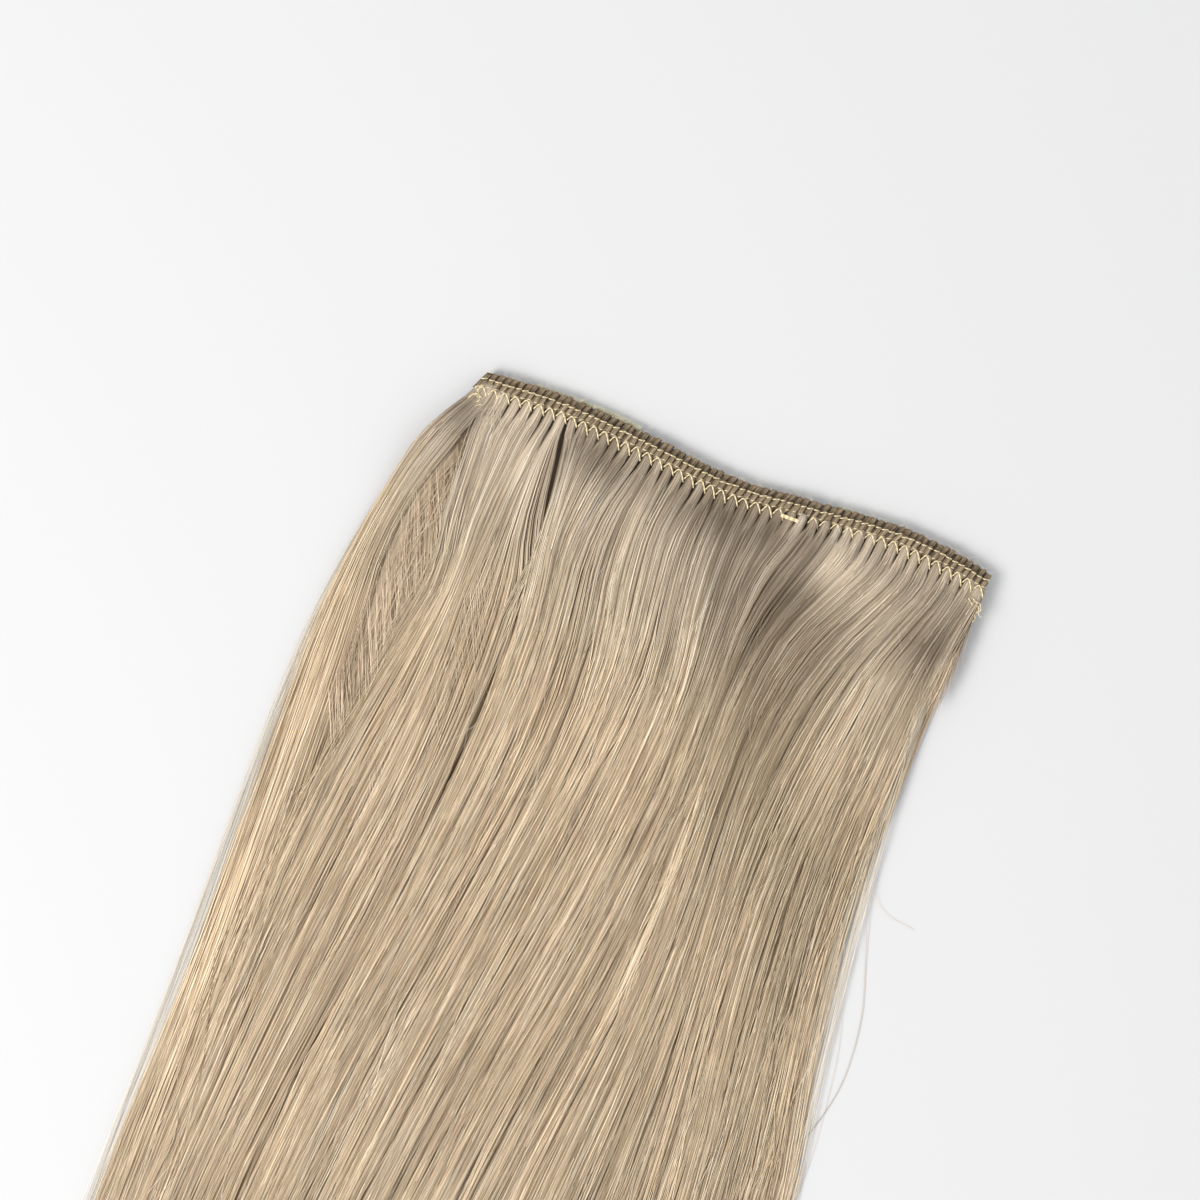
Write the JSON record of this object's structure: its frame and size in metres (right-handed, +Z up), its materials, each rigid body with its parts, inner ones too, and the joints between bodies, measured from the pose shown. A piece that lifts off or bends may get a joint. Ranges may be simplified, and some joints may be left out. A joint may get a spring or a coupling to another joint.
{
  "type": "clip-in hair extension weft",
  "caption": "Straight hair falling in flat locks from a two-layer sewn band with comb clips under it, lying flat.",
  "frame": {"origin": "on the table, in the middle of the middle clip's bar", "axes": "+X along the band towards its right end, -Y down the hair to its tips, +Z up from the table"},
  "size_m": [0.1782, 0.403, 0.0099],
  "materials": {
    "hair": "satin straight blonde hair",
    "folded_hair": "tightly folded and sewn hair",
    "folded_hair_dark": "ribbed roll of folded hair",
    "thread": "twisted straw-coloured thread",
    "clip_paint": "satin khaki paint on spring steel"
  },
  "bodies": {
    "root": {"lower_track": "folded_hair_dark", "upper_track": "folded_hair", "lower_fall": "hair", "upper_fall": "hair", "side_lock": "hair", "clip_left": "clip_paint", "clip_middle": "clip_paint", "clip_right": "clip_paint"}
  },
  "joints": []
}
